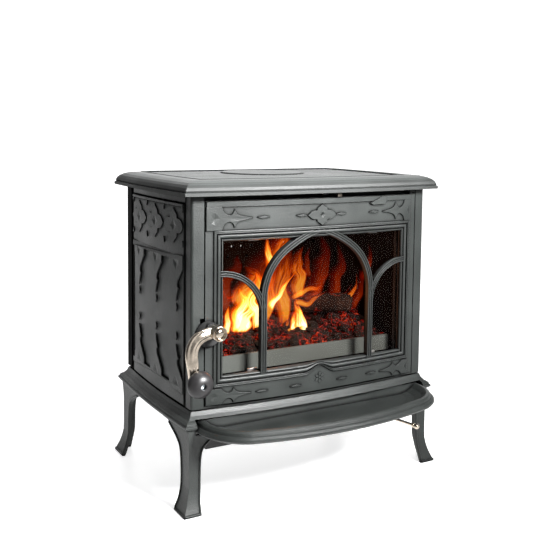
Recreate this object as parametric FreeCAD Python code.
"""Free-standing cast-iron wood stove, in millimetres, +X right, +Y back, +Z up.

Every piece is drawn about the middle of the body, then moved so that the origin is
the middle of the whole stove's footprint, on the floor.
"""

import FreeCAD
import Part
import math
import os

V = FreeCAD.Vector

# ---------------------------------------------------------------- driving dimensions
HALF_W = 289.6          # body, half width at its corners
FRONT_Y = -178.0        # body front at its corners
BACK_Y = 184.0          # body back
FRONT_BOW = 20.0        # how far the front swells past its corners
SIDE_BOW = 7.0          # the same for each side
WALL_Z0 = 207.0         # walls stand on the base plate
WALL_Z1 = 636.0         # the top plate lies on the walls
TOTAL_H = 665.5
WALL_T = 7.0

LEG_H = 172.0
LEG_CORNER_X = 299.0
LEG_FRONT_Y = -190.0
LEG_BACK_Y = 193.5
LEG_T = 7.0

TOP_HALF_W = 312.5      # drip edge of the top plate
TOP_FRONT_Y = -200.3
TOP_BACK_Y = 214.2

BASE_HALF_W = 288.9     # top edge of the base plate
BASE_FRONT_Y = -177.5
BASE_BACK_Y = 186.0
BASE_TOP_Z = 204.0
BASE_FLARE = 19.7       # how far the skirt reaches past the top edge

LIP_HALF_W = 285.0      # ash lip
LIP_FRONT_Y = -329.0
LIP_BACK_Y = -176.0
LIP_Z0 = 160.0
LIP_Z1 = 187.0

DOOR_HALF_W = 261.0
DOOR_Z0 = 212.5
DOOR_Z1 = 625.0
DOOR_REAR_Y = -174.0
DOOR_GAP = 2.5
BEAD_END_X = 246.0      # the top bead stops short of the hinge, to clear the stile as the door swings
WINDOW_HALF_W = 222.0
WINDOW_Z0 = 271.0
WINDOW_Z1 = 543.0
REBATE = 9.0            # glass seat around the window
GLASS_Y0 = -181.0
GLASS_T = 4.0

POCKET_Y = -160.0       # stop face behind the door
FRAME_REAR_Y = -152.0
THROAT_HALF_W = 228.0   # loading opening in the front frame
THROAT_Z0 = 250.0
THROAT_Z1 = 592.0

HINGE_X = 254.5
HINGE_Y = -176.0
PIN_R = 3.0
RUN = 0.05              # radial running clearance

HANDLE_X = -254.5
HANDLE_Z = 371.0
SPINDLE_R = 4.0
HUB_Y0 = -240.0         # front of the handle's cap
HUB_Y1 = -212.0
BOSS_Y = -201.0
BOSS_DROP = 12.0        # the round boss hangs this far below the spindle

LEVER_X = 40.0
LEVER_Z = 630.5

ROD_Z = 135.0
ROD_TIP = V(182.0, -303.0, ROD_Z)
ROD_SLEW = 12.2         # degrees that the rod turns from straight ahead
ROD_R = 3.2

FLUE_R = 75.0
FLUE_Z = 530.0
COLLAR_END_Y = 229.0

SHIELD_HALF_W = 248.0
SHIELD_FRONT_Y = -158.0
SHIELD_BACK_Y = 168.0
SHIELD_Z = 113.0
SHEET = 2.0
POCKET_Z = 192.0        # underside of the base plate inside its rim

FLOOR_Z = 262.0         # top of the firebox floor
GUARD_TOP_Z = 297.0
BAFFLE_Z = 560.0
COVER_R = 98.0
COVER_Y = 65.0

ORIGIN_Y = (LIP_FRONT_Y + COLLAR_END_Y) / 2

MID_Y = (FRONT_Y + BACK_Y) / 2
SIDE_PANEL_Y0 = -145.0
SIDE_PANEL_Y1 = 137.0


# ---------------------------------------------------------------- helpers
def box(x0, x1, y0, y1, z0, z1):
    return Part.makeBox(x1 - x0, y1 - y0, z1 - z0, V(x0, y0, z0))


def rod(radius, start, end):
    way = end - start
    return Part.makeCylinder(radius, way.Length, start, way)


def cone(r0, r1, start, end):
    way = end - start
    return Part.makeCone(r0, r1, way.Length, start, way)


def fuse(*shapes):
    return shapes[0].multiFuse(list(shapes[1:])).removeSplitter()


def cut(shape, *tools):
    return shape.cut(list(tools)).removeSplitter()


def mirror_x(shape):
    return shape.mirror(V(0, 0, 0), V(1, 0, 0))


def arc(a, middle, b):
    return Part.Arc(a, middle, b).toShape()


def line(a, b):
    return Part.makeLine(a, b)


def front_at(x, depth=0.0):
    """Y of the bowed front, or of a surface that lies depth behind it."""
    return FRONT_Y - FRONT_BOW * (1 - (x / HALF_W) ** 2) + depth


def side_at(y, depth=0.0):
    """X of the bowed right side, or of a surface that lies depth inside it."""
    half = (BACK_Y - FRONT_Y) / 2
    return HALF_W + SIDE_BOW * (1 - ((y - MID_Y) / half) ** 2) - depth


def front_slab(x0, x1, z0, z1, depth, rear_y):
    """A block whose front follows the bowed front and whose rear is flat."""
    xm = (x0 + x1) / 2
    a = V(x0, front_at(x0, depth), z0)
    m = V(xm, front_at(xm, depth), z0)
    b = V(x1, front_at(x1, depth), z0)
    c = V(x1, rear_y, z0)
    d = V(x0, rear_y, z0)
    wire = Part.Wire([arc(a, m, b), line(b, c), line(c, d), line(d, a)])
    return Part.Face(wire).extrude(V(0, 0, z1 - z0))


def side_slab(y0, y1, z0, z1, depth, inner_x):
    """A block whose outside follows the bowed right side and whose inside is flat."""
    ym = (y0 + y1) / 2
    a = V(side_at(y0, depth), y0, z0)
    m = V(side_at(ym, depth), ym, z0)
    b = V(side_at(y1, depth), y1, z0)
    c = V(inner_x, y1, z0)
    d = V(inner_x, y0, z0)
    wire = Part.Wire([arc(a, m, b), line(b, c), line(c, d), line(d, a)])
    return Part.Face(wire).extrude(V(0, 0, z1 - z0))


def bowed_ring(half_w, y0, y1, z, front_bow=FRONT_BOW, side_bow=SIDE_BOW):
    """A rectangle with swollen front and sides and a straight back."""
    a = V(-half_w, y0, z)
    b = V(half_w, y0, z)
    c = V(half_w, y1, z)
    d = V(-half_w, y1, z)
    ym = (y0 + y1) / 2
    return Part.Wire([
        arc(a, V(0, y0 - front_bow, z), b),
        arc(b, V(half_w + side_bow, ym, z), c),
        line(c, d),
        arc(d, V(-half_w - side_bow, ym, z), a),
    ])


def moulded_plate(half_w, y0, y1, profile):
    """A plate with a moulded edge: profile is a list of (outward offset, z)."""
    rings = [bowed_ring(half_w + out, y0 - out, y1 + out, z) for out, z in profile]
    return Part.makeLoft(rings, True, True)


def screw(head_r, head_h, shank_r, length, at, way):
    """A round-headed fastener; at is under the head, way points along the shank."""
    unit = V(way).normalize()
    head = rod(head_r, at - unit * head_h, at)
    return head.fuse(rod(shank_r, at, at + unit * length)).removeSplitter()


def group(shapes):
    return Part.makeCompound(shapes)


def ring_of_points(radius, count, y, z0, start_deg=45.0):
    """Points on an upright circle about the flue's axis."""
    points = []
    for i in range(count):
        angle = math.radians(start_deg + 360.0 * i / count)
        points.append(V(radius * math.cos(angle), y, z0 + radius * math.sin(angle)))
    return points


# ---------------------------------------------------------------- body castings
TIE_INSET = 14.0        # tie rods stand this far inside the walls' inner corner
TIE_R = 4.0
TIE_FRONT_Y = FRAME_REAR_Y + TIE_INSET - 4
TIE_BACK_Y = BACK_Y - WALL_T - 12


def tie_points(z):
    x = HALF_W - WALL_T - 8
    return [V(sx * x, y, z) for sx in (-1, 1) for y in (TIE_FRONT_Y, TIE_BACK_Y)]


def rod_direction():
    slew = math.radians(ROD_SLEW)
    return V(math.sin(slew), -math.cos(slew), 0)


AIR_PORT_R = 14.0
VALVE_R = 18.0
DUCT_FACE = 245.0       # rod length from its tip to the closed valve's seat
DUCT_HALF_W = 30.0
DUCT_L = 70.0


def duct_frame():
    """The start-air duct's axis start, and the way it runs back from there."""
    back = rod_direction() * -1
    return ROD_TIP + back * DUCT_FACE, back


def base_plate():
    profile = [(10, 172), (17.5, 173), (BASE_FLARE, 176), (BASE_FLARE, 179), (17, 181),
               (16.5, 184), (13, 187), (9, 189), (3, 196), (0, BASE_TOP_Z)]
    plate = moulded_plate(BASE_HALF_W, BASE_FRONT_Y, BASE_BACK_Y, profile)
    plinth = bowed_ring(HALF_W - 5, FRONT_Y + 5, BACK_Y - 2, BASE_TOP_Z)
    plate = fuse(plate, Part.Face(plinth).extrude(V(0, 0, WALL_Z0 - BASE_TOP_Z)))
    pocket = box(-235, 235, -140, 150, LEG_H - 5, POCKET_Z)
    lip_seat = lip_block(LIP_HALF_W + 0.2, LIP_FRONT_Y, LIP_BACK_Y + 0.2, 150, 190.2)
    seat, back = duct_frame()
    port_at = seat + back * (DUCT_L / 2)
    port = rod(AIR_PORT_R, V(port_at.x, port_at.y, 180), V(port_at.x, port_at.y, 215))
    holes = [rod(TIE_R, p, p + V(0, 0, 40)) for p in tie_points(175)]
    heads = [rod(8, p, p + V(0, 0, 10)) for p in tie_points(170)]
    return cut(plate, pocket, lip_seat, port, *holes, *heads)


def lip_outline(half_w, front_y, back_y, z):
    """The ash lip in plan: straight back, short sides, round corners, gently bowed front."""
    side_y = back_y - 0.18 * (back_y - front_y)
    knee_x = 0.76 * half_w
    knee_y = front_y + 0.2 * (back_y - front_y)
    corner_x = 0.925 * half_w
    corner_y = front_y + 0.43 * (back_y - front_y)
    a = V(-half_w, back_y, z)
    b = V(half_w, back_y, z)
    c = V(half_w, side_y, z)
    d = V(knee_x, knee_y, z)
    e = V(-knee_x, knee_y, z)
    f = V(-half_w, side_y, z)
    return Part.Wire([
        line(a, b), line(b, c), arc(c, V(corner_x, corner_y, z), d),
        arc(d, V(0, front_y, z), e), arc(e, V(-corner_x, corner_y, z), f), line(f, a),
    ])


def lip_block(half_w, front_y, back_y, z0, z1):
    face = Part.Face(lip_outline(half_w, front_y, back_y, z0))
    return face.extrude(V(0, 0, z1 - z0))


def lip_loft(levels, back_y):
    rings = [lip_outline(LIP_HALF_W - i, LIP_FRONT_Y + i, back_y, z) for i, z in levels]
    return Part.makeLoft(rings, True, True)


def ash_lip():
    outside = [(26, LIP_Z0), (9, 162), (3, 165), (0, 169), (0.5, 173), (4, 176.5),
               (7, 178), (8.5, 183), (12, 186), (16, LIP_Z1)]
    body = lip_loft(outside, LIP_BACK_Y)
    dish = [(20, LIP_Z1 + 0.1), (23, 185), (31, 178), (45, 171), (62, 167.5)]
    return cut(body, lip_loft(dish, LIP_BACK_Y - 14), *lip_bolt_holes())


LIP_BOLT_X = 190.0
LIP_BOLT_Y = LIP_BACK_Y - 7


def lip_bolt_holes():
    return [rod(3.0, V(s * LIP_BOLT_X, LIP_BOLT_Y, 159), V(s * LIP_BOLT_X, LIP_BOLT_Y, 188))
            for s in (-1, 1)]


def ash_lip_bolts():
    return group([screw(6, 4, 3.0, 27.0, V(s * LIP_BOLT_X, LIP_BOLT_Y, LIP_Z0), V(0, 0, 1))
                  for s in (-1, 1)])


def side_plate():
    """Right side; the left one is its mirror image."""
    inner = HALF_W - WALL_T - 1
    y0, y1 = FRAME_REAR_Y, SIDE_PANEL_Y1
    plate = side_slab(y0, y1, WALL_Z0, WALL_Z1, 0, inner)
    frieze = side_slab(SIDE_PANEL_Y0 + 2, y1 + 1, 531, 612, -9, 400).common(
        outside_of_side(2.5, 531, 612))
    field = outside_of_side(2.5, 240, 513).common(box(200, 400, SIDE_PANEL_Y0 + 2, y1 + 1, 0, 700))
    shadow = outside_of_side(4.0, 617, 621)
    groove = outside_of_side(4.5, WALL_Z0 - 1, 617).common(
        box(200, 400, y0 - 1, SIDE_PANEL_Y0, 0, 700))
    foot = outside_of_side(3.0, WALL_Z0 - 1, 210)
    ledge = side_slab(SIDE_PANEL_Y0, y1, 612, 617, -2.5, inner + 3)
    return fuse(cut(plate, frieze, field, shadow, groove, foot), ledge)


def outside_of_side(depth, z0, z1):
    """Everything further out than depth inside the right side's bow."""
    y0, y1 = FRAME_REAR_Y - 1, BACK_Y + 1
    ym = (y0 + y1) / 2
    a = V(side_at(y0, depth), y0, z0)
    m = V(side_at(ym, depth), ym, z0)
    b = V(side_at(y1, depth), y1, z0)
    c = V(400, y1, z0)
    d = V(400, y0, z0)
    wire = Part.Wire([arc(a, m, b), line(b, c), line(c, d), line(d, a)])
    return Part.Face(wire).extrude(V(0, 0, z1 - z0))


def back_plate():
    rear = box(-HALF_W + 6, HALF_W - 6, BACK_Y - WALL_T, BACK_Y, WALL_Z0, WALL_Z1)
    sides = []
    for s in (-1, 1):
        xs = sorted((s * (HALF_W - WALL_T - 1), s * (HALF_W - 1.5)))
        sides.append(box(xs[0], xs[1], SIDE_PANEL_Y1, BACK_Y - WALL_T, WALL_Z0, WALL_Z1))
        xs = sorted((s * (HALF_W - WALL_T), s * (HALF_W + 1.5)))
        sides.append(box(xs[0], xs[1], BACK_Y - 26, BACK_Y, WALL_Z0 + 3, WALL_Z1))
    hole = rod(FLUE_R, V(0, BACK_Y - 20, FLUE_Z), V(0, BACK_Y + 1, FLUE_Z))
    bolts = [rod(3.0, p, p + V(0, 20, 0))
             for p in ring_of_points(COLLAR_PCD / 2, 4, BACK_Y - 15, FLUE_Z)]
    shield = [rod(2.5, V(x, BACK_Y - 15, z), V(x, BACK_Y + 1, z)) for x, z in SHIELD_SCREWS]
    return cut(fuse(rear, *sides), hole, *bolts, *shield)


COLLAR_PCD = 180.0
COLLAR_FLANGE_R = 101.0
SHIELD_SCREWS = [(x, z) for x in (-210.0, 210.0) for z in (250.0, 590.0)]


def front_frame():
    """Front casting: two stiles that wrap the corners, a sill and the door's stop wall."""
    outer = front_slab(-HALF_W, HALF_W, WALL_Z0, WALL_Z1, 0, FRAME_REAR_Y)
    corners = [e for e in outer.Edges if abs(e.BoundBox.ZLength - (WALL_Z1 - WALL_Z0)) < 1
               and e.BoundBox.YMin < FRAME_REAR_Y - 10]
    outer = outer.makeFillet(6.0, corners)
    gap = DOOR_HALF_W + DOOR_GAP
    pocket = box(-gap, gap, -260, POCKET_Y, DOOR_Z0 - 1, WALL_Z1 + 1)
    throat = box(-THROAT_HALF_W, THROAT_HALF_W, -260, 0, THROAT_Z0, THROAT_Z1)
    foot = box(-gap, gap, -260, front_at(gap) + 1, WALL_Z0 - 1, DOOR_Z0)
    lever_slot = box(LEVER_X - 92, LEVER_X + 8, POCKET_Y - 1, 0, LEVER_Z - 4, WALL_Z1 + 1)
    lug = box(HINGE_X - 7, gap + 1, front_at(gap) + 1, POCKET_Y, DOOR_Z1 + 1.5, WALL_Z1)
    latch_slot = box(-gap - 8, -gap + 1, -260, POCKET_Y - 3, HANDLE_Z - 14, HANDLE_Z + 20)
    upper = rod(PIN_R, V(HINGE_X, HINGE_Y, DOOR_Z1), V(HINGE_X, HINGE_Y, WALL_Z1 + 1))
    lower = rod(PIN_R, V(HINGE_X, HINGE_Y, WALL_Z0 - 1), V(HINGE_X, HINGE_Y, DOOR_Z0))
    shell = fuse(cut(outer, pocket, throat, foot, lever_slot, latch_slot), lug)
    return cut(shell, upper, lower, *lintel_holes())


def lintel_holes():
    """Air passes through these into the channel above the glass; the shutter covers them."""
    return [box(x, x + 14, POCKET_Y - 1, 0, 604, 618) for x in AIR_HOLES_X]


AIR_HOLES_X = [-80.0, -50.0, -20.0, 10.0, 40.0]


def top_plate():
    profile = [(-14, WALL_Z1), (0, WALL_Z1), (0, 642), (-3, 643.5), (-2.5, 647), (-5, 652.5),
               (-10, 657.5), (-17, 661.5), (-25, 664), (-31, TOTAL_H)]
    plate = moulded_plate(TOP_HALF_W, TOP_FRONT_Y, TOP_BACK_Y, profile)
    under = bowed_ring(262, -140, 165, WALL_Z1 - 1, 12, 4)
    hollow = Part.Face(under).extrude(V(0, 0, TOP_UNDER_Z - WALL_Z1 + 1))
    inset = Part.Face(bowed_ring(252, -140, 180, TOTAL_H - 2.0, 17, 6)).extrude(V(0, 0, 5))
    seat = rod(COVER_R + 0.5, V(0, COVER_Y, TOTAL_H - 6), V(0, COVER_Y, TOTAL_H + 5))
    outlet = rod(FLUE_R, V(0, COVER_Y, WALL_Z1), V(0, COVER_Y, TOTAL_H))
    holes = [rod(TIE_R, p, p + V(0, 0, 20)) for p in tie_points(WALL_Z1 - 5)]
    clamps = [rod(3.0, V(x, COVER_Y, 640), V(x, COVER_Y, 662)) for x in (-COVER_BOLT_X, COVER_BOLT_X)]
    return cut(plate, hollow, inset, seat, outlet, *holes, *clamps)


COVER_BOLT_X = 86.0
TOP_UNDER_Z = 654.0     # underside of the top plate inside its rim


def outlet_cover():
    disc = rod(COVER_R, V(0, COVER_Y, TOTAL_H - 6), V(0, COVER_Y, TOTAL_H + 0.5))
    rim = rod(COVER_R - 3, V(0, COVER_Y, TOTAL_H - 1), V(0, COVER_Y, TOTAL_H + 1))
    spigot = rod(FLUE_R - 1, V(0, COVER_Y, TOTAL_H - 14), V(0, COVER_Y, TOTAL_H - 6))
    hollow = rod(FLUE_R - 6, V(0, COVER_Y, TOTAL_H - 15), V(0, COVER_Y, TOTAL_H - 6))
    disc = fuse(disc.makeFillet(1.5, [disc.Edges[0]]), rim)
    holes = [rod(3.0, V(x, COVER_Y, TOTAL_H - 7), V(x, COVER_Y, TOTAL_H - 2))
             for x in (-COVER_BOLT_X, COVER_BOLT_X)]
    return cut(fuse(disc, spigot), hollow, *holes)


def outlet_cover_bolts():
    return group([screw(6, 4, 3.0, 8.5, V(x, COVER_Y, TOP_UNDER_Z), V(0, 0, 1))
                  for x in (-COVER_BOLT_X, COVER_BOLT_X)])


def tie_rods():
    """Long bolts in the inner corners that clamp the top plate down on the base plate."""
    return group([fuse(rod(TIE_R, p, V(p.x, p.y, 651)), rod(7, p, p + V(0, 0, 5)))
                  for p in tie_points(175)])


# ---------------------------------------------------------------- legs
def leg_section(z, flare, side_w, front_w):
    """One level of the front-left leg: an L around its outer corner."""
    x = -LEG_CORNER_X - flare
    y = LEG_FRONT_Y - flare
    t = LEG_T
    points = [V(x, y, z), V(x, y + side_w, z), V(x + t, y + side_w, z), V(x + t, y + t, z),
              V(x + front_w, y + t, z), V(x + front_w, y, z), V(x, y, z)]
    return Part.makePolygon(points)


def leg_flare(z):
    """The foot sweeps outwards below the shin, and the knee a little at the top."""
    foot = 17.0 * max(0.0, 1 - z / 62.0) ** 1.8
    knee = 3.0 * max(0.0, (z - 120.0) / 52.0) ** 2
    return foot + knee


LEG_LEVELS = [          # z, side flange width, front flange width
    (0, 55, 38), (4, 53, 36.5), (9, 50.3, 34.6), (15, 47, 32.3), (22, 44, 30), (30, 41.3, 28.4),
    (40, 39.3, 27.1), (52, 38.3, 26.3), (70, 38, 26), (90, 38.6, 26.3), (105, 40, 27), (116, 42, 28.2),
    (125, 45, 30), (131, 49.3, 33), (136, 55, 37), (141, 63, 42.6), (146, 72, 49), (156, 94, 64),
    (165, 112, 76),
]


def leg():
    """Front-left leg, an L-shaped cabriole casting with a bolting pad inside its corner."""
    rings = [leg_section(z, leg_flare(z), side_w, front_w) for z, side_w, front_w in LEG_LEVELS]
    shank = Part.makeLoft(rings, True, True)
    z, side_w, front_w = LEG_LEVELS[-1]
    top = leg_section(z, leg_flare(z), side_w, front_w)
    crown = Part.Face(top).extrude(V(0, 0, LEG_H - z))
    pad = box(-LEG_CORNER_X, -LEG_CORNER_X + 46, LEG_FRONT_Y, LEG_FRONT_Y + 46, LEG_H - 8, LEG_H)
    at = leg_bolt_point()
    return cut(fuse(shank, crown, pad), rod(4.0, V(at.x, at.y, 150), V(at.x, at.y, 180)))


def front_leg():
    """The front legs' brackets are notched under the ash lip."""
    return cut(leg(), lip_block(LIP_HALF_W + 0.3, LIP_FRONT_Y, LIP_BACK_Y + 0.3, LIP_Z0 - 0.3, 190))


def leg_bolt_point():
    return V(-LEG_CORNER_X + 30, LEG_FRONT_Y + 30, LEG_H - 8)


def leg_corners():
    """Name, and whether the leg is mirrored in X and moved to the back, for each corner."""
    return [("leg_front_left", False, False), ("leg_front_right", True, False),
            ("leg_rear_left", False, True), ("leg_rear_right", True, True)]


def to_corner(shape, right, rear):
    moved = shape
    if rear:
        moved = moved.mirror(V(0, (LEG_FRONT_Y + LEG_BACK_Y) / 2, 0), V(0, 1, 0))
    if right:
        moved = mirror_x(moved)
    return moved


def leg_bolts():
    bolt = screw(8, 5, 4.0, 8.0, leg_bolt_point(), V(0, 0, 1))
    return group([to_corner(bolt, right, rear) for _, right, rear in leg_corners()])


# ---------------------------------------------------------------- flue and heat shields
def flue_collar():
    flange = rod(COLLAR_FLANGE_R, V(0, BACK_Y, FLUE_Z), V(0, BACK_Y + 7, FLUE_Z))
    spigot = rod(FLUE_R + 6, V(0, BACK_Y, FLUE_Z), V(0, COLLAR_END_Y, FLUE_Z))
    bore = rod(FLUE_R, V(0, BACK_Y - 1, FLUE_Z), V(0, COLLAR_END_Y + 1, FLUE_Z))
    holes = [rod(3.0, p, p + V(0, 12, 0))
             for p in ring_of_points(COLLAR_PCD / 2, 4, BACK_Y - 2, FLUE_Z)]
    return cut(fuse(flange, spigot), bore, *holes)


def flue_collar_bolts():
    return group([screw(5.5, 4, 3.0, 14.0, p, V(0, -1, 0))
                  for p in ring_of_points(COLLAR_PCD / 2, 4, BACK_Y + 7, FLUE_Z)])


SHIELD_GAP = 16.0


def rear_heat_shield():
    y = BACK_Y + SHIELD_GAP
    sheet = box(-240, 240, y, y + SHEET, 220, 625)
    notch = rod(COLLAR_FLANGE_R + 6, V(0, y - 1, FLUE_Z), V(0, y + 5, FLUE_Z))
    holes = [rod(2.5, V(x, y - 1, z), V(x, y + 5, z)) for x, z in SHIELD_SCREWS]
    flanges = [box(x, x + SHEET, y - 12, y, 220, 625) for x in (-240.0, 240.0 - SHEET)]
    return cut(fuse(sheet, *flanges), notch, *holes)


def rear_shield_spacers():
    spacers = []
    for x, z in SHIELD_SCREWS:
        tube = rod(6, V(x, BACK_Y, z), V(x, BACK_Y + SHIELD_GAP, z))
        spacers.append(tube.cut(rod(2.5, V(x, BACK_Y, z), V(x, BACK_Y + SHIELD_GAP, z))))
    return group(spacers)


def rear_shield_screws():
    y = BACK_Y + SHIELD_GAP + SHEET
    return group([screw(5, 3, 2.5, 25.0, V(x, y, z), V(0, -1, 0)) for x, z in SHIELD_SCREWS])


def bottom_heat_shield():
    outer = box(-SHIELD_HALF_W, SHIELD_HALF_W, SHIELD_FRONT_Y, SHIELD_BACK_Y, SHIELD_Z, LEG_H)
    w = SHIELD_HALF_W - SHEET
    inner = box(-w, w, SHIELD_FRONT_Y + SHEET, SHIELD_BACK_Y - SHEET, SHIELD_Z + SHEET, LEG_H + 1)
    tip = ROD_TIP
    slot = rod(ROD_R + 1.0, tip, tip - rod_direction() * 200)
    corners = []
    for right in (False, True):
        for rear in (False, True):
            corners.append(to_corner(leg_corner_room(), right, rear))
    holes = [rod(3.0, V(x, SCREW_Y, SHIELD_Z - 1), V(x, SCREW_Y, SHIELD_Z + 5)) for x in SCREW_X]
    return cut(outer, inner, slot, *corners, *holes)


def leg_corner_room():
    """Space that the leg's bolting pad needs inside the bottom shield's corner."""
    return box(-LEG_CORNER_X, -LEG_CORNER_X + 52, LEG_FRONT_Y, LEG_FRONT_Y + 52, 158, 173)


SCREW_X = (-150.0, 20.0)
SCREW_Y = 70.0


def bottom_shield_screws():
    """Long screws that hang the bottom shield's floor from the base plate."""
    length = POCKET_Z - SHIELD_Z
    return group([screw(6, 3, 3.0, length, V(x, SCREW_Y, SHIELD_Z), V(0, 0, 1)) for x in SCREW_X])


# ---------------------------------------------------------------- firebox
def firebox_floor():
    plate = box(-276, 276, -138, 158, FLOOR_Z - 10, FLOOR_Z)
    ribs = [box(x - 4, x + 4, -130, 150, WALL_Z0, FLOOR_Z - 9) for x in (-240.0, -80.0, 80.0, 240.0)]
    slots = [box(x - 4, x + 4, -50, 90, FLOOR_Z - 12, FLOOR_Z + 1) for x in range(-45, 60, 15)]
    return cut(fuse(plate, *ribs), *slots)


def burn_plate_side():
    """Right burn plate, with the vertical corrugations that such plates have."""
    plate = box(264, 276, -130, 140, FLOOR_Z, BAFFLE_Z)
    flutes = [rod(5, V(262, y, FLOOR_Z - 1), V(262, y, BAFFLE_Z + 1)) for y in range(-110, 130, 20)]
    return cut(plate, *flutes)


def burn_plate_rear():
    plate = box(-276, 276, 142, 152, FLOOR_Z, BAFFLE_Z)
    holes = []
    for row, z in enumerate((455.0, 480.0)):
        for i in range(-9, 10):
            x = 26.0 * i + 13.0 * row
            if abs(x) < 250:
                holes.append(rod(3.5, V(x, 141, z), V(x, 153, z)))
    large = [rod(8, V(x, 141, 500), V(x, 153, 500)) for x in (-120.0, 0.0, 120.0)]
    return cut(plate, *holes, *large)


def baffle_plate():
    plate = box(-276, 276, -80, 152, BAFFLE_Z, BAFFLE_Z + 9)
    nose = box(-276, 276, -88, -80, BAFFLE_Z, BAFFLE_Z + 16)
    return fuse(plate, nose)


def air_channel():
    """Sheet channel behind the lintel that turns the air down over the glass."""
    y0 = FRAME_REAR_Y
    outer = box(-200, 200, y0, y0 + 26, 596, 625)
    inner = box(-198, 198, y0 - 1, y0 + 24, 594, 623)
    lever_way = box(LEVER_X - 92, LEVER_X + 12, y0 - 1, y0 + 5, 620, 626)
    return cut(outer, inner, lever_way)


def ember_guard():
    plate = box(-222, 222, -146, -140, FLOOR_Z, GUARD_TOP_Z)
    top = [e for e in plate.Edges if e.BoundBox.YLength > 5 and e.BoundBox.ZMin > GUARD_TOP_Z - 1]
    return plate.makeFillet(3, top)


def ember_bed():
    """Glowing charcoal heaped on the floor, higher at the back."""
    points = [V(-225, -134, FLOOR_Z), V(-225, 135, FLOOR_Z), V(-225, 120, 322),
              V(-225, 0, 330), V(-225, -95, 312), V(-225, -134, 296)]
    face = Part.Face(Part.makePolygon(points + [points[0]]))
    bed = face.extrude(V(450, 0, 0))
    ends = [e for e in bed.Edges if e.BoundBox.XLength < 1 and e.BoundBox.ZMin > FLOOR_Z + 1]
    return bed.makeChamfer(20, ends)


LOGS = {                # radius, left end, right end
    "log_front": (27.0, V(-30, 25, 361), V(185, -45, 355)),
    "log_rear": (32.0, V(-190, 95, 359), V(110, 95, 359)),
}


def log(radius, left, right):
    trunk = rod(radius, left, right)
    return trunk.makeChamfer(4, [trunk.Edges[0], trunk.Edges[2]])


# ---------------------------------------------------------------- door
def glass_rect(margin, y0, y1):
    w = WINDOW_HALF_W + margin
    return box(-w, w, y0, y1, WINDOW_Z0 - margin, WINDOW_Z1 + margin)


def window_step(margin, depth):
    """Room in front of a surface that lies depth behind the bow, around the window."""
    w = WINDOW_HALF_W + margin
    block = box(-w, w, -260, -150, WINDOW_Z0 - margin, WINDOW_Z1 + margin)
    solid = front_slab(-HALF_W, HALF_W, 200, 640, depth, -100)
    return block.cut(solid)


MOULD_W = 22.0          # width of the moulding around the window
BAR_W = 13.0
BAR_FRONT = 1.0         # bars lie this far behind the bow
BAR_X = 133.5
HAUNCH_Z = 420.0        # the pointed arch springs here, on a small radius
HAUNCH_R = 123.0
HAUNCH_TURN = 54.6      # degrees of the small radius before the crown's large one
CROWN_R = 270.0
SIDE_ARCH_Z = 385.0
SIDE_ARCH_R = 93.0


def curved_bar(centre, radius, from_deg, to_deg, width):
    """A curved bar in the window's plane; centre is (x, z)."""
    turns = [math.radians(from_deg + (to_deg - from_deg) * k / 2) for k in range(3)]
    rims = []
    for r in (radius + width / 2, radius - width / 2):
        rims.append([V(centre[0] + r * math.cos(t), -260, centre[1] + r * math.sin(t)) for t in turns])
    outer, inner = rims
    wire = Part.Wire([arc(*outer), line(outer[2], inner[2]), arc(*inner[::-1]),
                      line(inner[0], outer[0])])
    return Part.Face(wire).extrude(V(0, 110, 0))


def half_tracery():
    """Right half: an upright bar, half of the pointed arch, and a side arch to the frame."""
    haunch = (BAR_X - HAUNCH_R, HAUNCH_Z)
    turn = math.radians(HAUNCH_TURN)
    reach = CROWN_R - HAUNCH_R
    crown = (haunch[0] - reach * math.cos(turn), haunch[1] - reach * math.sin(turn))
    apex = math.degrees(math.acos(-crown[0] / CROWN_R))
    side = (BAR_X + SIDE_ARCH_R, SIDE_ARCH_Z)
    half = BAR_W / 2
    return fuse(
        box(BAR_X - half, BAR_X + half, -260, -150, WINDOW_Z0 - 15, HAUNCH_Z),
        curved_bar(haunch, HAUNCH_R, 0, HAUNCH_TURN, BAR_W),
        curved_bar(crown, CROWN_R, HAUNCH_TURN, apex + 2, BAR_W).common(box(0, 400, -300, 0, 0, 700)),
        curved_bar(side, SIDE_ARCH_R, 180, 83, BAR_W - 2),
    )


def tracery():
    """Two upright bars that fork into a pointed arch between them and half arches outside."""
    right = half_tracery()
    depth = front_slab(-HALF_W, HALF_W, 200, 640, BAR_FRONT, GLASS_Y0 - 0.5)
    window = box(-WINDOW_HALF_W - 13, WINDOW_HALF_W + 13, -260, -150, WINDOW_Z0 - 14, WINDOW_Z1 + 19)
    return fuse(right, mirror_x(right)).common(depth).common(window)


def badge_arch():
    """The lower moulding lifts over a flat field in the middle of the bottom rail."""
    half = [(38.0, 0.0), (30.0, 2.1), (20.0, 8.0), (10.0, 14.5), (4.0, 17.0)]
    foot_z = WINDOW_Z0 - MOULD_W
    crest = [V(0, -260, foot_z + 17.5)]
    right = [V(x, -260, foot_z + rise) for x, rise in half]
    left = [V(-x, -260, foot_z + rise) for x, rise in half[::-1]]
    curve = Part.BSplineCurve()
    curve.interpolate(right + crest + left)
    face = Part.Face(Part.Wire([curve.toShape(), line(left[-1], right[0])]))
    return face.extrude(V(0, 260 + DOOR_REAR_Y, 0))


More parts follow.
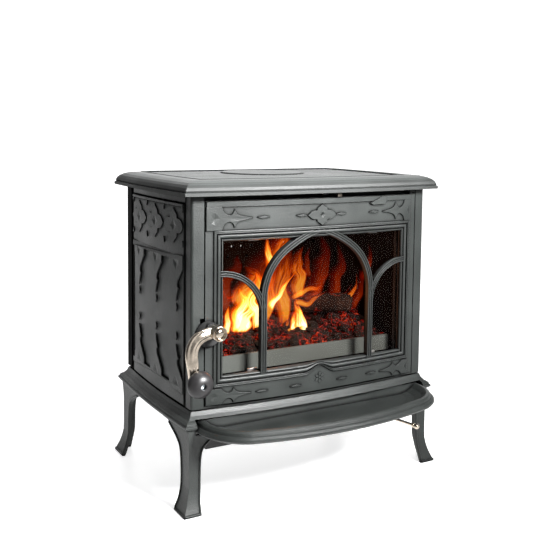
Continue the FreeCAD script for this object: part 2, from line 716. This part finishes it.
def door_frame():
    slab = front_slab(-DOOR_HALF_W, DOOR_HALF_W, DOOR_Z0, DOOR_Z1, 0, DOOR_REAR_Y)
    lip = front_slab(-WINDOW_HALF_W - MOULD_W, WINDOW_HALF_W + MOULD_W,
                     WINDOW_Z0 - MOULD_W, WINDOW_Z1 + MOULD_W, -2.5, DOOR_REAR_Y)
    top_bead = front_slab(-DOOR_HALF_W + 2, BEAD_END_X, 613, DOOR_Z1 - 1.5, -2.5, DOOR_REAR_Y)
    stile = box(HINGE_X - 9, DOOR_HALF_W, DOOR_REAR_Y, HINGE_Y + 8, DOOR_Z0, DOOR_Z1)
    bearing = rod(8, V(HANDLE_X, DOOR_REAR_Y, HANDLE_Z), V(HANDLE_X, DOOR_REAR_Y + 1.5, HANDLE_Z))
    bearing = bearing.common(box(-DOOR_HALF_W, 0, -200, -100, 300, 420))
    steps = [window_step(MOULD_W - 4, 1.0), window_step(MOULD_W - 8, 2.0),
             window_step(MOULD_W - 13, 3.5), window_step(4, 5.0)]
    opening = glass_rect(0, -260, -100)
    seat = glass_rect(REBATE, GLASS_Y0, -100)
    rail_backs = [box(-200, 200, -188, -100, z0, z1) for z0, z1 in ((570.0, 605.0), (222.0, 250.0))]
    frame = cut(fuse(slab, lip, top_bead, stile, bearing), *steps, opening, seat, *rail_backs)
    arch = badge_arch()
    badge_field = cut(arch.common(slab), seat, *rail_backs)
    frame = fuse(cut(frame, arch), badge_field, tracery())
    spindle_hole = rod(SPINDLE_R + RUN, V(HANDLE_X, -260, HANDLE_Z), V(HANDLE_X, -100, HANDLE_Z))
    pins = [rod(PIN_R + RUN, V(HINGE_X, HINGE_Y, z - 21), V(HINGE_X, HINGE_Y, z + 21))
            for z in (DOOR_Z0, DOOR_Z1)]
    screws = [rod(2.0, V(x, -182.5, z), V(x, -150, z)) for x, z in GLASS_CLIPS]
    return cut(frame, spindle_hole, *pins, *screws)


GLASS_CLIPS = [(x, z) for x in (-150.0, 150.0) for z in (WINDOW_Z0 - 15.0, WINDOW_Z1 + 15.0)]
GLASS_EDGE = REBATE - 1.5


def door_glass():
    return glass_rect(GLASS_EDGE, GLASS_Y0 + 0.8, GLASS_Y0 + 0.8 + GLASS_T)


def glass_gasket():
    """Flat woven tape between the casting and the glass."""
    ring = glass_rect(GLASS_EDGE, GLASS_Y0, GLASS_Y0 + 0.8)
    return ring.cut(glass_rect(1.0, GLASS_Y0 - 1, GLASS_Y0 + 2))


def glass_clips():
    y = DOOR_REAR_Y
    clips = []
    for x, z in GLASS_CLIPS:
        inward = 1 if z < 400 else -1
        zs = sorted((z - inward * 8, z + inward * 18))
        plate = box(x - 11, x + 11, y, y + 2, zs[0], zs[1])
        toe = sorted((z + inward * 10, z + inward * 18))
        foot = box(x - 11, x + 11, GLASS_Y0 + 0.8 + GLASS_T, y, toe[0], toe[1])
        clips.append(cut(fuse(plate, foot), rod(2.0, V(x, y - 5, z), V(x, y + 5, z))))
    return group(clips)


def glass_clip_screws():
    return group([screw(4, 2.5, 2.0, 9.5, V(x, DOOR_REAR_Y + 2, z), V(0, -1, 0))
                  for x, z in GLASS_CLIPS])


def door_gasket():
    """Rope seal that the closed door presses on the frame's stop wall."""
    w = THROAT_HALF_W + 14
    outer = box(-w, w, DOOR_REAR_Y, POCKET_Y - 0.3, THROAT_Z0 - 14, THROAT_Z1 + 14)
    inner = box(-w + 10, w - 10, -180, -150, THROAT_Z0 - 4, THROAT_Z1 + 4)
    return outer.cut(inner)


def hinge_pin_upper():
    return rod(PIN_R, V(HINGE_X, HINGE_Y, DOOR_Z1 - 20), V(HINGE_X, HINGE_Y, WALL_Z1))


def hinge_pin_lower():
    return rod(PIN_R, V(HINGE_X, HINGE_Y, WALL_Z0), V(HINGE_X, HINGE_Y, DOOR_Z0 + 20))


def door_boss():
    """Black round escutcheon, proud of the frame's stile that it reaches over."""
    rear = front_at(HANDLE_X - 8) - 1.2
    low = HANDLE_Z - BOSS_DROP
    disc = cone(27, 21, V(HANDLE_X, rear, low), V(HANDLE_X, BOSS_Y + 5, low))
    neck = rod(13, V(HANDLE_X, rear, HANDLE_Z), V(HANDLE_X, BOSS_Y, HANDLE_Z))
    bore = rod(SPINDLE_R + RUN, V(HANDLE_X, -260, HANDLE_Z), V(HANDLE_X, -100, HANDLE_Z))
    return cut(fuse(disc, neck), bore, door_blank())


def door_blank():
    return fuse(front_slab(-DOOR_HALF_W, DOOR_HALF_W, DOOR_Z0, DOOR_Z1, 0, DOOR_REAR_Y),
                front_slab(-WINDOW_HALF_W - MOULD_W, WINDOW_HALF_W + MOULD_W,
                           WINDOW_Z0 - MOULD_W, WINDOW_Z1 + MOULD_W, -2.5, DOOR_REAR_Y))


# ---------------------------------------------------------------- handle and latch
KNOB = V(-297.0, -240.0, 277.0)     # centre of the handle's knob
ARM_HALF_W = 12.5
ARM_HALF_T = 6.5


def handle_arm():
    """Cast nickel arm: a barrel on the spindle and a broad bar that bends down to the knob."""
    barrel = rod(15.5, V(HANDLE_X, HUB_Y0, HANDLE_Z), V(HANDLE_X, HUB_Y1, HANDLE_Z))
    barrel = barrel.makeFillet(2.5, [barrel.Edges[0], barrel.Edges[2]])
    neck = rod(9.5, V(HANDLE_X, HUB_Y1 - 1, HANDLE_Z), V(HANDLE_X, BOSS_Y - 0.4, HANDLE_Z))
    y = KNOB.y + 20
    bar = Part.makeLoft([oval(at, way) for at, way in arm_stations(y)], True, False)
    pad = rod(11, V(KNOB.x, y + 5, KNOB.z), V(KNOB.x, KNOB.y + 12, KNOB.z))
    arm = fuse(barrel, neck, bar, pad)
    spindle_room = rod(SPINDLE_R, V(HANDLE_X, HUB_Y0 + 6, HANDLE_Z), V(HANDLE_X, -190, HANDLE_Z))
    screw_room = rod(2.5, V(KNOB.x, KNOB.y, KNOB.z), V(KNOB.x, KNOB.y + 30, KNOB.z))
    return cut(arm, spindle_room, screw_room)


def arm_stations(y):
    """Places and headings along the arm: a bend out of the barrel, then a drop to the knob."""
    elbow = V(HANDLE_X - 52.5, y, HANDLE_Z - 46)
    bend = Part.Arc(V(HANDLE_X, y, HANDLE_Z), V(HANDLE_X - 41, y, HANDLE_Z - 11), elbow)
    span = bend.LastParameter - bend.FirstParameter
    steps = [bend.FirstParameter + span * k / 6 for k in range(7)]
    stations = [(bend.value(u), bend.tangent(u)[0]) for u in steps]
    foot = V(KNOB.x - 4, y, KNOB.z + 4)
    return stations + [(elbow * 0.5 + foot * 0.5, foot - elbow), (foot, foot - elbow)]


def oval(at, way):
    """The arm's section: long across the arm, short from front to back."""
    across = way.cross(V(0, 1, 0)).normalize()
    curve = Part.Ellipse(at + across * ARM_HALF_W, at + V(0, ARM_HALF_T, 0), at)
    return Part.Wire(curve.toShape())


def handle_knob():
    """Round insulating knob with a recess for its screw."""
    points = [(0, 12), (11, 12), (22, 9), (26.5, 2), (26, -4), (21, -11), (12, -15.5), (6, -16.5)]
    outline = [V(KNOB.x + r, KNOB.y + y, KNOB.z) for r, y in points]
    recess = [V(KNOB.x + 6, KNOB.y - 6, KNOB.z), V(KNOB.x, KNOB.y - 6, KNOB.z)]
    curve = Part.BSplineCurve()
    curve.interpolate(outline[1:])
    edges = [line(outline[0], outline[1]), curve.toShape(), line(outline[-1], recess[0]),
             line(recess[0], recess[1]), line(recess[1], outline[0])]
    turned = Part.Face(Part.Wire(edges)).revolve(KNOB, V(0, 1, 0), 360)
    return cut(turned, rod(2.5, KNOB - V(0, 10, 0), KNOB + V(0, 13, 0)))


def knob_screw():
    return screw(4.8, 3.5, 2.5, 26.0, V(KNOB.x, KNOB.y - 6, KNOB.z), V(0, 1, 0))


def latch_spindle():
    return rod(SPINDLE_R, V(HANDLE_X, HUB_Y0 + 6, HANDLE_Z), V(HANDLE_X, POCKET_Y - 1.5, HANDLE_Z))


PAWL_Y0 = DOOR_REAR_Y + 2.0
PAWL_Y1 = PAWL_Y0 + 5.0


def latch_pawl():
    hub = rod(8, V(HANDLE_X, PAWL_Y0, HANDLE_Z), V(HANDLE_X, PAWL_Y1, HANDLE_Z))
    tongue = box(HANDLE_X - 16, HANDLE_X, PAWL_Y0, PAWL_Y1, HANDLE_Z - 4, HANDLE_Z + 4)
    eye = rod(SPINDLE_R, V(HANDLE_X, -200, HANDLE_Z), V(HANDLE_X, -150, HANDLE_Z))
    return cut(fuse(hub, tongue), eye)


def pawl_nut():
    nut = Part.Face(hexagon(7.0, HANDLE_X, PAWL_Y1, HANDLE_Z)).extrude(V(0, 4, 0))
    eye = rod(SPINDLE_R, V(HANDLE_X, -200, HANDLE_Z), V(HANDLE_X, -150, HANDLE_Z))
    return cut(nut, eye)


def hexagon(radius, x, y, z):
    points = [V(x + radius * math.cos(math.radians(60 * k)), y, z + radius * math.sin(math.radians(60 * k)))
              for k in range(6)]
    return Part.makePolygon(points + [points[0]])


def latch_keeper():
    gap = DOOR_HALF_W + DOOR_GAP
    return box(-gap - 8, -gap, FRONT_Y, POCKET_Y - 3, HANDLE_Z - 14, HANDLE_Z - 6)


# ---------------------------------------------------------------- air controls
def air_lever():
    """Flat lever through the slot above the door, with a turned-up finger tab."""
    bar = box(LEVER_X - 4, LEVER_X + 4, -200, FRAME_REAR_Y + 0.5, LEVER_Z - 1.5, LEVER_Z + 1.5)
    tab = box(LEVER_X - 5, LEVER_X + 5, -206, -200, LEVER_Z - 3.5, LEVER_Z + 2.5)
    return fuse(bar, tab)


def air_shutter():
    """Plate with the same windows as the lintel; sliding it left closes them."""
    y = FRAME_REAR_Y + 0.5
    plate = box(-100, 60, y, y + SHEET, 600, 621)
    ear = box(LEVER_X - 8, LEVER_X + 8, y, y + SHEET, 620, LEVER_Z + 3)
    windows = [box(x, x + 14, y - 1, y + 5, 604, 618) for x in AIR_HOLES_X]
    return cut(fuse(plate, ear), *windows)


def start_air_rod():
    way = rod_direction()
    tip = ROD_TIP - way * 4
    collar = rod(5, ROD_TIP - way * 12, ROD_TIP - way * 7)
    shaft = rod(ROD_R, tip, ROD_TIP - way * (DUCT_FACE - 4.3))
    return fuse(shaft, collar)


def start_air_knob():
    ball = Part.makeSphere(6.0, ROD_TIP)
    way = rod_direction()
    return cut(ball, rod(ROD_R, ROD_TIP - way * 4, ROD_TIP - way * 20))


def start_air_valve():
    way = rod_direction()
    seat = ROD_TIP - way * DUCT_FACE
    return rod(VALVE_R, seat + way * 0.3, seat + way * 4.3)


def start_air_duct():
    """Box under the base plate that leads start-up air to the fire bed."""
    seat, _ = duct_frame()
    turn = FreeCAD.Rotation(V(0, 0, 1), ROD_SLEW)
    outer = box(-DUCT_HALF_W, DUCT_HALF_W, 0, DUCT_L, ROD_Z - 20 - SHEET, POCKET_Z)
    inner = box(-DUCT_HALF_W + SHEET, DUCT_HALF_W - SHEET, SHEET, DUCT_L - SHEET, ROD_Z - 20, POCKET_Z + 1)
    port = rod(AIR_PORT_R, V(0, -1, ROD_Z), V(0, 10, ROD_Z))
    duct = cut(outer, inner, port)
    duct.Placement = FreeCAD.Placement(V(seat.x, seat.y, 0), turn)
    return duct.common(box(-300, 300, -300, 300, SHIELD_Z + SHEET, POCKET_Z))


# ---------------------------------------------------------------- write every piece
def pieces():
    parts = {
        "base_plate": base_plate(),
        "side_plate_right": side_plate(),
        "side_plate_left": mirror_x(side_plate()),
        "back_plate": back_plate(),
        "front_frame": front_frame(),
        "top_plate": top_plate(),
        "outlet_cover": outlet_cover(),
        "outlet_cover_bolts": outlet_cover_bolts(),
        "tie_rods": tie_rods(),
        "leg_bolts": leg_bolts(),
        "ash_lip": ash_lip(),
        "ash_lip_bolts": ash_lip_bolts(),
        "flue_collar": flue_collar(),
        "flue_collar_bolts": flue_collar_bolts(),
        "rear_heat_shield": rear_heat_shield(),
        "rear_shield_spacers": rear_shield_spacers(),
        "rear_shield_screws": rear_shield_screws(),
        "bottom_heat_shield": bottom_heat_shield(),
        "bottom_shield_screws": bottom_shield_screws(),
        "firebox_floor": firebox_floor(),
        "burn_plate_right": burn_plate_side(),
        "burn_plate_left": mirror_x(burn_plate_side()),
        "burn_plate_rear": burn_plate_rear(),
        "baffle_plate": baffle_plate(),
        "air_channel": air_channel(),
        "ember_guard": ember_guard(),
        "ember_bed": ember_bed(),
        "hinge_pin_upper": hinge_pin_upper(),
        "hinge_pin_lower": hinge_pin_lower(),
        "latch_keeper": latch_keeper(),
        "start_air_duct": start_air_duct(),
        "door_frame": door_frame(),
        "door_glass": door_glass(),
        "glass_gasket": glass_gasket(),
        "glass_clips": glass_clips(),
        "glass_clip_screws": glass_clip_screws(),
        "door_gasket": door_gasket(),
        "door_boss": door_boss(),
        "handle_arm": handle_arm(),
        "handle_knob": handle_knob(),
        "knob_screw": knob_screw(),
        "latch_spindle": latch_spindle(),
        "latch_pawl": latch_pawl(),
        "pawl_nut": pawl_nut(),
        "air_lever": air_lever(),
        "air_shutter": air_shutter(),
        "start_air_rod": start_air_rod(),
        "start_air_knob": start_air_knob(),
        "start_air_valve": start_air_valve(),
    }
    for name, right, rear in leg_corners():
        parts[name] = to_corner(leg() if rear else front_leg(), right, rear)
    for name, (radius, left, right) in LOGS.items():
        parts[name] = log(radius, left, right)
    return parts


def main():
    os.makedirs("parts", exist_ok=True)
    for name, shape in pieces().items():
        shape.translate(V(0, -ORIGIN_Y, 0))
        shape.exportStep(os.path.join("parts", name + ".step"))
        size = shape.BoundBox
        print(f"{name:22} solids {len(shape.Solids)} valid {shape.isValid()} "
              f"x {size.XMin:.1f}..{size.XMax:.1f} y {size.YMin:.1f}..{size.YMax:.1f} "
              f"z {size.ZMin:.1f}..{size.ZMax:.1f}")


main()
